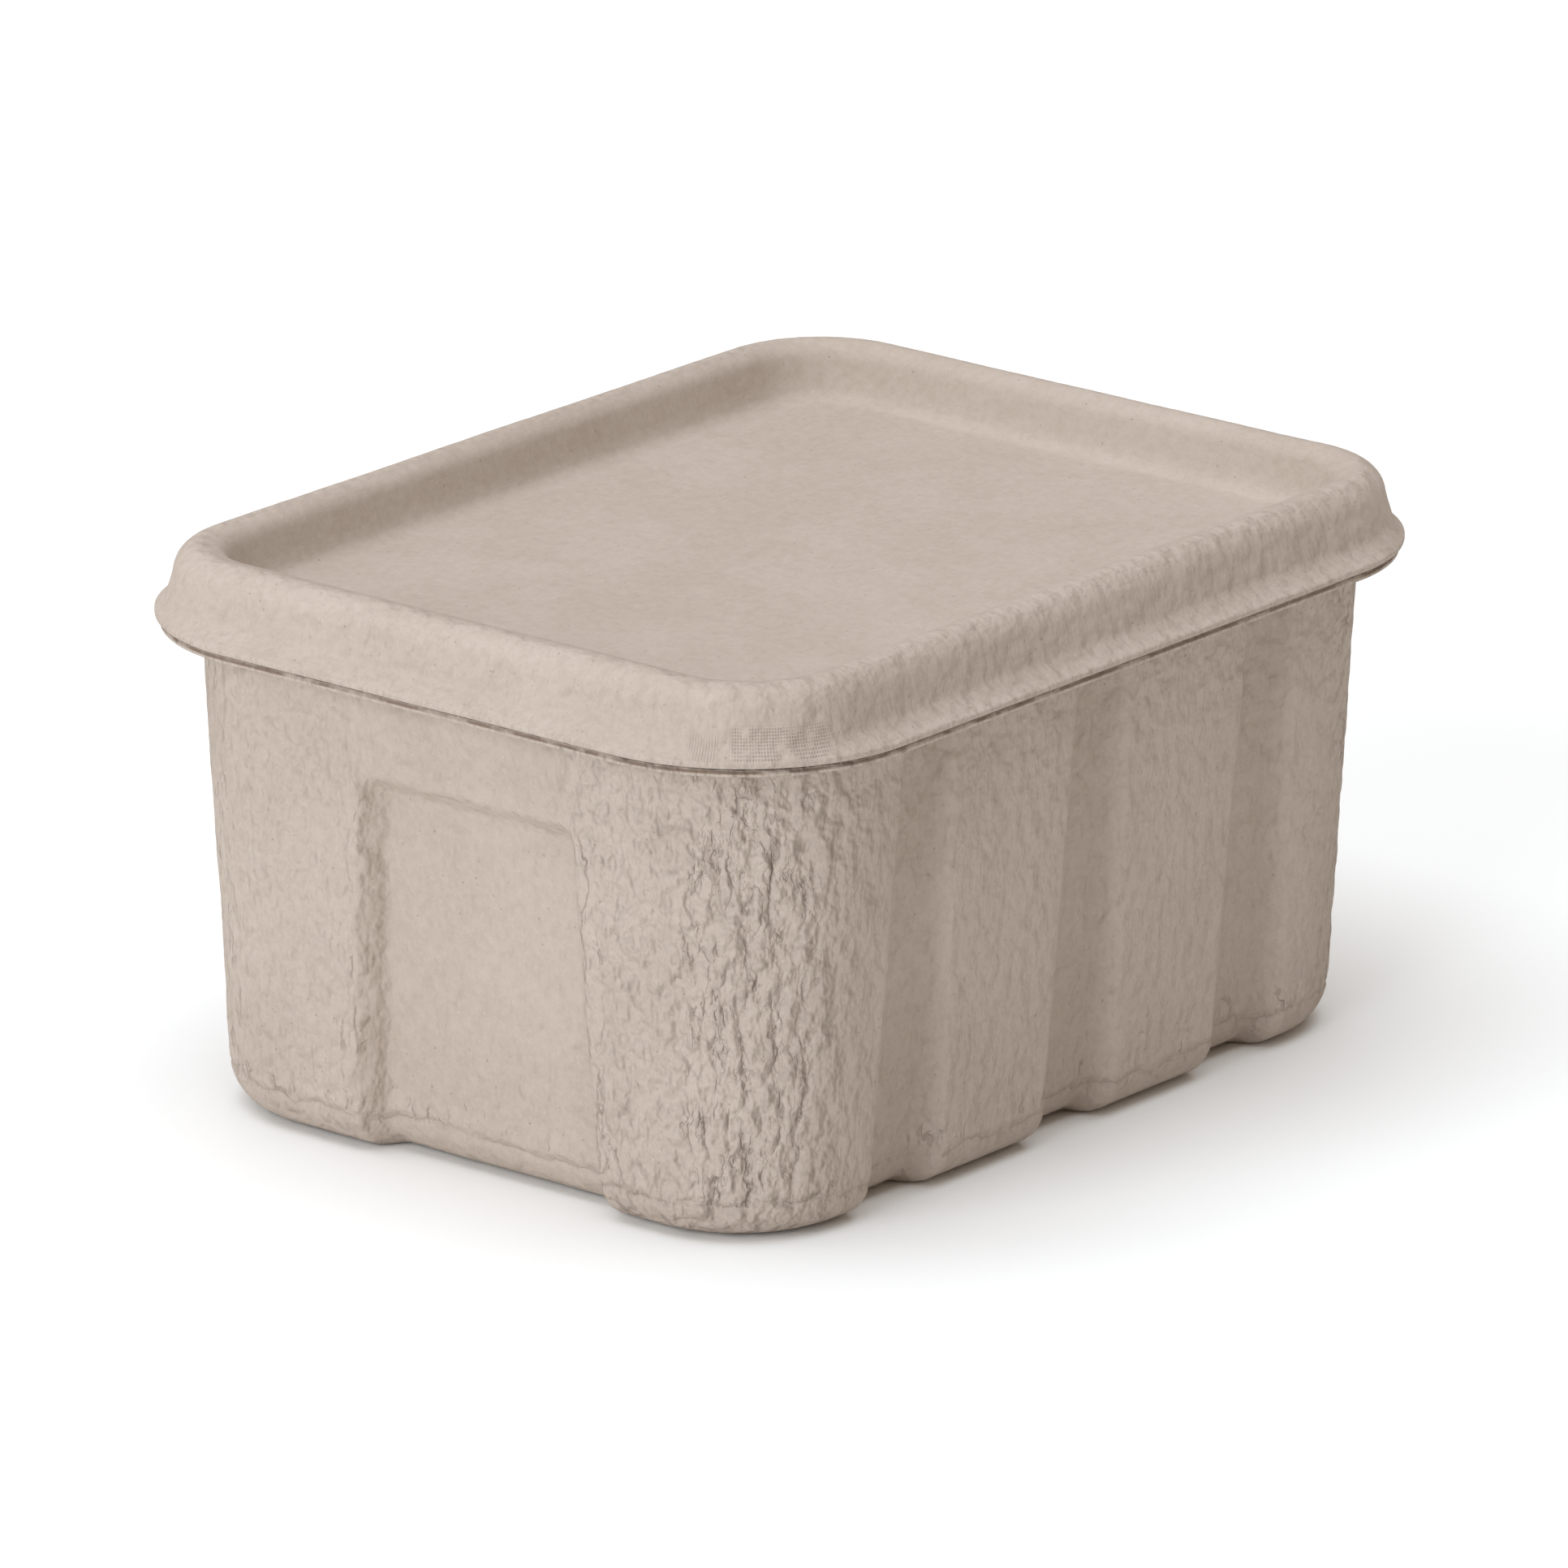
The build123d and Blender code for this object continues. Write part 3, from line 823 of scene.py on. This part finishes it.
    shares, pushes = columns_round(63.9 * MM, 41.8 * MM, long_gap, short_gap, corner_gap)
    points = np.zeros((len(rows), len(shares), 3))
    on_long = np.abs(pushes[:, 1]) > 0.9999
    on_short = np.abs(pushes[:, 0]) > 0.9999
    for index, (inset, height, corner, sunk, _, skin) in enumerate(rows):
        sides = half - inset
        corner = min(corner, sides[1])
        plan = shares * (sides - corner) + pushes * corner
        share = min(height / lip, 1.0)
        mouth = size.flute_half_base + (size.flute_half_top - size.flute_half_base) * share + skin
        depth = size.flute_depth_base + (size.flute_depth_top - size.flute_depth_base) * share
        soft = 0.7 * MM
        dent = np.zeros(len(shares))
        for step in (-1, 0, 1):
            off = np.abs(plan[:, 0] - step * size.flute_pitch)
            run = size.flute_run + 2 * soft
            dent += np.where(on_long, depth * ease((mouth + soft - off) / run), 0.0)
        off = np.abs(plan[:, 1] + size.panel_offset)
        half_width = panel_half(size, height)
        panel = ease((half_width + skin + soft - off) / (size.panel_run + 2 * soft))
        under = ease((size.ledge_top + skin + soft - height) / (size.ledge_run + 2 * soft))
        dent += np.where(on_short, size.panel_depth * panel * under, 0.0)
        points[index, :, :2] = plan - pushes * (dent * sunk)[:, None]
        points[index, :, 2] = height
    fields = tub_fields(size, points, rows, pushes, outer_count)
    return points, fields


def panel_half(size, height):
    """Half the width of the sunk end panel at a height."""
    share = height / float(lid_low[2])
    return size.panel_half_base + (size.panel_half_top - size.panel_half_base) * share


def lid_corner():
    """Corner radius of the lip, which the flange follows too."""
    return bpy.context.scene.carton_lid.lip_corner


def tub_fields(size, points, rows, pushes, outer_count):
    """What each point of the tub carries: how crumpled it is, how free it is to move, how near
    the hem it lies, how coarse its skin is, and whether it is a torn edge or in the slit there."""
    height = points[:, :, 2]
    turn = np.degrees(np.arctan2(np.abs(pushes[:, 1]), np.abs(pushes[:, 0])))
    on_corner = ease(1.0 - (np.abs(turn - 44.0) - 9.0) / 26.0)
    low_down = 0.55 + 0.45 * ease((84.0 * MM - height) / (30.0 * MM))
    fold = on_corner[None, :] * low_down
    # beside the sunk panel, on the wall that faces the end
    faces_end = np.abs(pushes[:, 0]) > 0.9999
    off = np.abs(points[:, :, 1] + size.panel_offset) - panel_half(size, height)
    band = ease(1.0 - (np.abs(off - 2.0 * MM) - 1.0 * MM) / (4.0 * MM))
    band = band * ease((size.ledge_top + 4 * MM - height) / (12 * MM))
    fold = np.maximum(fold, np.where(faces_end[None, :], 0.50 * band, 0.0))
    # how coarse the skin is: smooth on the sunk panel, lumpy beside it and round the corner
    beside = ease((off + 7.0 * MM) / (13.0 * MM))
    past_flute = ease((np.abs(points[:, :, 0]) - size.flute_pitch - 9.0 * MM) / (9.0 * MM))
    coarse = np.where(faces_end[None, :], beside, 0.2 + 0.3 * past_flute)
    coarse = np.where((turn % 90.0)[None, :] > 0.1, 1.0 - 0.5 * ease((turn - 62.0) / 24.0), coarse)
    # the far corners came out of the mould smoother
    smoother = 1.0 - 0.5 * (points[:, :, 1] > 0)
    fold = fold * smoother
    coarse = coarse * smoother
    # a little everywhere, more towards the hem
    outer = (np.arange(len(rows)) < outer_count)[:, None]
    above = ease((height - 6.5 * MM) / (3.0 * MM))
    near_hem = ease(1.0 - np.abs(height - 9.0 * MM) / (7.0 * MM)) * 0.42
    fold = np.maximum(fold, near_hem) * above
    fold = np.where(outer, fold, 0.0)
    corner_hem = 0.7 + 0.3 * on_corner[None, :]
    hem = np.where(outer, ease(1.0 - np.abs(height - 7.6 * MM) / (6.0 * MM)), 0.0) * corner_hem
    free = np.repeat(rows[:, 4:5], len(pushes), axis=1)
    flange_edge = np.abs(height - size.flange_top + 0.5 * size.wall) < 0.5 * size.wall
    out_there = (rows[:, 0] < 1.3 * MM)[:, None]
    torn = np.where(flange_edge & out_there, 1.0, 0.0)
    around = way_round(points)
    in_gap = np.abs(height - size.flange_top + 0.4 * MM) < 0.2 * MM
    gap = np.where(in_gap & out_there, 1.0, 0.0)
    return {
        "gap": gap,
        "fold": fold,
        "free": free,
        "hem": hem,
        "torn": torn,
        "coarse": coarse,
        "around": around,
    }


def way_round(points):
    """The way round the wall to each column, from the middle of the far end panel."""
    level = points[np.argmax(points[:, 0, 2] > 50 * MM)]
    gaps = np.linalg.norm(np.roll(level, -1, axis=0) - level, axis=1)
    along = np.concatenate(([0.0], np.cumsum(gaps)))
    start = int(np.argmin(np.abs(level[:, 1]) - level[:, 0]))
    shifted = (along[:-1] - along[start]) % along[-1]
    return np.repeat(shifted[None, :], len(points), axis=0)


def lid_points(size):
    """Points and fields of the lid's sheet, from the middle of the sunk top over the crest and
    the lip, then back underneath."""
    half = np.array([lid_high[0], lid_high[1]])
    low = float(lid_low[2])
    crest = float(lid_high[2])
    floor = crest - size.recess_depth
    foot = [
        (26.0 * MM, floor, 7.5 * MM),
        (20.5 * MM, floor, 11.0 * MM),
        (18.5 * MM, floor + 1.0 * MM, 12.4 * MM),
        (17.3 * MM, crest - 6.6 * MM, 13.2 * MM),
        (15.3 * MM, crest - 1.7 * MM, 14.8 * MM),
        (13.9 * MM, crest - 0.4 * MM, 16.0 * MM),
        (12.2 * MM, crest, 17.5 * MM),
    ]
    shoulder = []
    rim_corner = size.lip_corner - 2.08 * size.rim_inset
    for angle in QUARTER[::-1] * np.pi / 2:
        pull_in = size.crest_round * (1 - np.cos(angle))
        height = crest - size.crest_round * (1 - np.sin(angle))
        shoulder.append((size.rim_inset + pull_in, height, rim_corner - pull_in))
    kink = (size.kink_inset, low + size.kink_rise, rim_corner + 1.3 * MM)
    lip = low + size.lip_edge
    flare = [kink, (0.5 * size.kink_inset, lip + 1.0 * MM, 30.25 * MM), (0.0, lip, size.lip_corner)]
    outside = soften(foot + shoulder + flare, 0.55 * MM, 0.62 * MM)
    # the underside follows a sheet's thickness inside
    slope = np.gradient(outside[:, :2], axis=0)
    slope /= np.linalg.norm(slope, axis=1)[:, None]
    inward = np.stack([-slope[:, 1], slope[:, 0]], axis=1)
    if inward[0, 1] > 0:
        inward = -inward
    underside = outside.copy()
    underside[:, :2] += size.wall * inward
    underside[:, 2] -= size.wall * inward[:, 0]
    underside = underside[::-1][::2]
    underside[:, 1] = np.maximum(underside[:, 1], low)

    def panel_rows(edge):
        """Rows of the flat top from its middle out to the recess wall."""
        rows = []
        for share in (1.0, 0.86, 0.72, 0.58, 0.45, 0.33, 0.22, 0.12, 0.05):
            inset = edge[0] + share * (half[1] - edge[0])
            rows.append((inset, edge[1], max(edge[2] - (inset - edge[0]), 0.0)))
        return rows

    edge_round = 0.32 * MM
    edge_rows = [
        (0.0 * MM, lip - 0.5 * edge_round, size.lip_corner),
        (0.0, low + 0.45 * size.lip_edge, size.lip_corner),
        (0.08 * MM, low + 0.5 * edge_round, size.lip_corner - 0.08 * MM),
        (0.30 * MM, low + 0.02 * MM, size.lip_corner - 0.3 * MM),
    ]
    rows = panel_rows(outside[0]) + list(outside) + edge_rows
    outer_count = len(rows)
    rows = rows + list(underside) + panel_rows(underside[-1])[::-1]
    rows = np.array(rows)
    shares, pushes = columns_round(
        67.0 * MM, 44.9 * MM, lambda place: 0.95 * MM, lambda place: 0.95 * MM, lambda angle: 1.15
    )
    points = np.zeros((len(rows), len(shares), 3))
    for index, (inset, height, corner) in enumerate(rows):
        sides = half - inset
        corner = min(corner, sides[1])
        points[index, :, :2] = shares * (sides - corner) + pushes * corner
        points[index, :, 2] = height
    outer = (np.arange(len(rows)) < outer_count)[:, None]
    at_lip = ease((rows[:, 0] - 1.0 * MM) / (3.0 * MM))[:, None]
    free = np.where(outer, 0.35 + 0.65 * at_lip, 0.2) * np.ones((1, len(shares)))
    edge = (np.abs(rows[:, 1] - low - 0.5 * size.lip_edge) < 0.62 * size.lip_edge)[:, None]
    torn = np.where(edge & outer & (rows[:, 0] < 0.4 * MM)[:, None], 0.8, 0.0) * np.ones_like(free)
    none = np.zeros_like(free)
    on_rim = ease((14.0 * MM - rows[:, 0]) / (4.0 * MM))[:, None] * np.ones_like(free)
    return points, {"fold": none, "free": free, "hem": none, "torn": torn, "coarse": on_rim}


def tray_sheet(size):
    """Flat sheet with the tray's outline: a grid whose corners are drawn into arcs."""
    half_x = float(tray_high[0])
    half_y = float(tray_high[1])

    def gap_at(from_edge):
        """Gap between grid lines: fine where the basin's wall stands."""
        foot = size.wall_inset + size.wall_lean
        if from_edge < size.wall_inset - 0.8 * MM:
            return 0.9 * MM
        if from_edge < foot + 1.0 * MM:
            return 0.28 * MM
        return 0.95 * MM

    def lines(span):
        """Grid lines from one edge to the other."""
        places = spaced(2 * span, lambda place: gap_at(min(place, 2 * span - place)))
        return np.concatenate((places, [2 * span])) - span

    x_lines, y_lines = lines(half_x), lines(half_y)
    x, y = np.meshgrid(x_lines, y_lines, indexing="ij")
    inset = np.minimum(half_x - np.abs(x), half_y - np.abs(y))
    corner = size.rim_corner
    over_x = np.maximum(np.abs(x) - (half_x - corner), 0.0)
    over_y = np.maximum(np.abs(y) - (half_y - corner), 0.0)
    reach = np.hypot(over_x, over_y)
    pull = np.where(reach > 0, np.maximum(over_x, over_y) / np.maximum(reach, 1e-9), 1.0)
    plan_x = np.sign(x) * (np.minimum(np.abs(x), half_x - corner) + over_x * pull)
    plan_y = np.sign(y) * (np.minimum(np.abs(y), half_y - corner) + over_y * pull)
    # the rim steps in round the backs of the flutes
    pitch = bpy.context.scene.carton_tub.flute_pitch
    for step in (-1, 0, 1):
        off = np.abs(plan_x - step * pitch)
        notch = size.notch_depth * ease((size.notch_half - off) / (1.6 * MM) + 0.5)
        held = np.clip(1.0 - inset / (size.wall_inset - 1.0 * MM), 0.0, 1.0)
        plan_y -= np.sign(y) * notch * held
    points = np.stack([plan_x, plan_y, np.full_like(x, float(tray_high[2]))], axis=-1)
    count_x, count_y = x.shape
    index = np.arange(count_x * count_y).reshape(count_x, count_y)
    faces = np.stack([index[:-1, :-1], index[1:, :-1], index[1:, 1:], index[:-1, 1:]], axis=-1)
    mesh = bpy.data.meshes.new("cell_tray_sheet")
    mesh.from_pydata(points.reshape(-1, 3).tolist(), [], faces.reshape(-1, 4).tolist())
    none = np.zeros_like(x)
    torn = np.where(inset < 0.1 * MM, 1.0, 0.0)
    fields = {"inset": inset, "fold": none, "hem": none, "torn": torn, "free": none + 0.6}
    for field, values in fields.items():
        layer = mesh.attributes.new(field, "FLOAT", "POINT")
        layer.data.foreach_set("value", values.astype(np.float32).ravel())
    return mesh


def finish_piece(piece, body, nodes, material, finish, seed, waves=1.0):
    """Gives a sheet its pulp skin, hangs it on the empty of the body it rides on, and hides the parts it
    takes the place of.
    """
    tree = bpy.data.node_groups.get("pulp skin") or pulp_skin_tree()
    values = {
        "Wave height": waves * finish.wave,
        "Fold height": finish.fold,
        "Grain height": finish.grain,
        "Seed": seed,
        "Pulp": material,
    }
    run_tree(piece, tree, values)
    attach(piece, body)
    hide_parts(*nodes)


class CARTON_OT_tub(bpy.types.Operator):
    """Make the fluted tub"""

    bl_idname = "carton.tub"
    bl_label = "Tub"

    def execute(self, context):
        finish = context.scene.carton_finish
        points, fields = tub_points(context.scene.carton_tub)
        piece = piece_from("pulp_tub", sheet_mesh("pulp_tub", points, fields))
        material = pulp_material("pulp, tub", finish, 1, 0.9, 0.75)
        finish_piece(piece, "tub", ["tub"], material, finish, 1)
        return {"FINISHED"}


class CARTON_OT_lid(bpy.types.Operator):
    """Make the lift-off lid"""

    bl_idname = "carton.lid"
    bl_label = "Lid"

    def execute(self, context):
        finish = context.scene.carton_finish
        size = context.scene.carton_lid
        points, fields = lid_points(size)
        piece = piece_from("pulp_lid", sheet_mesh("pulp_lid", points, fields))
        corner = (
            size.lip_corner - float(lid_high[0]),
            size.lip_corner - float(lid_high[1]),
            size.lip_corner,
        )
        material = pulp_material("pulp, lid", finish, 2, 0.55, 0.12, corner)
        finish_piece(piece, "lid", ["lid"], material, finish, 2, 0.6)
        return {"FINISHED"}


class CARTON_OT_tray(bpy.types.Operator):
    """Make the tray of egg cells"""

    bl_idname = "carton.tray"
    bl_label = "Cell tray"

    def execute(self, context):
        finish = context.scene.carton_finish
        size = context.scene.carton_tray
        piece = piece_from("pulp_cell_tray", tray_sheet(size))
        material = pulp_material("pulp, cell tray", finish, 3, 0.8, 0.6)
        values = {
            "Pitch along": size.pitch_x,
            "Pitch across": size.pitch_y,
            "Cup floor": float(tray_low[2]) + size.wall,
            "Cup mouth radius": size.mouth_radius,
            "Saddle height": size.saddle,
            "Post foot radius": size.post_base,
            "Post top radius": size.post_top,
            "Rim height": float(tray_high[2]),
            "Basin inset": size.wall_inset,
            "Basin lean": size.wall_lean,
            "Pulp": material,
        }
        run_tree(piece, egg_cell_tree(), values)
        thicken = piece.modifiers.new("sheet thickness", "SOLIDIFY")
        thicken.thickness = size.wall
        thicken.offset = -1.0
        thicken.use_even_offset = False
        finish_piece(piece, "tray", cell_nodes, material, finish, 3)
        return {"FINISHED"}


# ---- stage -----------------------------------------------------------------------------------
def make_camera(stage):
    """Camera at the carton's front left corner, looking slightly down."""
    azimuth, elevation, roll = np.radians([stage.azimuth, stage.elevation, stage.roll])
    back = Vector(
        (
            np.sin(azimuth) * np.cos(elevation),
            -np.cos(azimuth) * np.cos(elevation),
            np.sin(elevation),
        )
    )
    right = Vector((0, 0, 1)).cross(back).normalized()
    up = back.cross(right)
    turned_right = np.cos(roll) * right + np.sin(roll) * up
    turned_up = np.cos(roll) * up - np.sin(roll) * right
    data = bpy.data.cameras.new("camera")
    data.lens = stage.lens
    data.sensor_width = 36.0
    data.clip_start = 0.05
    data.clip_end = 60.0
    camera = bpy.data.objects.new("camera", data)
    axes = Matrix((turned_right, turned_up, back)).transposed().to_4x4()
    camera.matrix_world = Matrix.Translation(Vector(stage.aim) + back * stage.distance) @ axes
    bpy.context.scene.collection.objects.link(camera)
    bpy.context.scene.camera = camera


def make_light(name, place, aim, size, power):
    """Large square soft light at a place, facing its aim."""
    data = bpy.data.lights.new(name, "AREA")
    data.shape = "SQUARE"
    data.size = size
    data.energy = power
    data.color = (0.92, 1.0, 1.10)
    light = bpy.data.objects.new(name, data)
    light.location = place
    facing = Vector(aim) - Vector(place)
    light.rotation_euler = facing.to_track_quat("-Z", "Y").to_euler()
    bpy.context.scene.collection.objects.link(light)


class CARTON_OT_stage(bpy.types.Operator):
    """Make the floor, the lights and the camera"""

    bl_idname = "carton.stage"
    bl_label = "Stage"

    def execute(self, context):
        stage = context.scene.carton_stage
        side = 14.0
        corners = [(-side, -side), (side, -side), (side, side), (-side, side)]
        mesh = bpy.data.meshes.new("floor")
        mesh.from_pydata([(x, y, -0.05 * MM) for x, y in corners], [], [(0, 1, 2, 3)])
        floor = piece_from("floor", mesh)
        material = bpy.data.materials.new("pale floor")
        material.use_nodes = True
        shader = material.node_tree.nodes["Principled BSDF"]
        shader.inputs["Base Color"].default_value = (*stage.floor, 1.0)
        shader.inputs["Roughness"].default_value = 0.95
        shader.inputs["Specular IOR Level"].default_value = 0.0
        mesh.materials.append(material)
        world = bpy.data.worlds.new("soft surround")
        world.use_nodes = True
        surround = world.node_tree.nodes["Background"]
        surround.inputs["Color"].default_value = (1.0, 0.84, 0.70, 1.0)
        surround.inputs["Strength"].default_value = stage.sky
        context.scene.world = world
        make_light("key", (0.0, 0.0, 2.5), (0.0, 0.0, 0.05), 3.0, stage.key)
        make_light("side", (-2.4, 0.0, 0.8), (0.0, 0.0, 0.05), 2.0, stage.side)
        make_light("back", (-0.8, 1.8, 2.0), (0.0, 0.0, 0.05), 2.0, stage.back)
        make_camera(stage)
        context.scene.view_settings.view_transform = "Standard"
        context.scene.view_settings.look = "None"
        return {"FINISHED"}


class CARTON_PT_panel(bpy.types.Panel):
    """Sidebar panel with one button for each piece."""

    bl_idname = "CARTON_PT_panel"
    bl_label = "Egg Carton"
    bl_space_type = "VIEW_3D"
    bl_region_type = "UI"
    bl_category = "Egg Carton"

    def draw(self, context):
        for settings, button in PANEL_ROWS:
            box = self.layout.box()
            if settings:
                group = getattr(context.scene, settings)
                for field in group.bl_rna.properties:
                    if field.identifier not in ("rna_type", "name"):
                        box.prop(group, field.identifier)
            if button:
                box.operator(button)


SETTINGS = {
    "carton_tub": TubSizes,
    "carton_lid": LidSizes,
    "carton_tray": TraySizes,
    "carton_finish": PulpFinish,
    "carton_stage": StageSettings,
}
PANEL_ROWS = [
    ("carton_finish", None),
    ("carton_tub", "carton.tub"),
    ("carton_lid", "carton.lid"),
    ("carton_tray", "carton.tray"),
    ("carton_stage", "carton.stage"),
]
CLASSES = [
    *SETTINGS.values(),
    CARTON_OT_tub,
    CARTON_OT_lid,
    CARTON_OT_tray,
    CARTON_OT_stage,
    CARTON_PT_panel,
]


def register():
    """Adds the classes and the scene's settings."""
    for item in CLASSES:
        bpy.utils.register_class(item)
    for name, group in SETTINGS.items():
        setattr(bpy.types.Scene, name, bpy.props.PointerProperty(type=group))


def unregister():
    """Takes them away again."""
    for name in SETTINGS:
        delattr(bpy.types.Scene, name)
    for item in reversed(CLASSES):
        bpy.utils.unregister_class(item)


def main():
    """Builds the carton and its stage."""
    register()
    for _, button in PANEL_ROWS:
        if button:
            group, action = button.split(".")
            getattr(getattr(bpy.ops, group), action)()


if __name__ == "__main__":
    main()
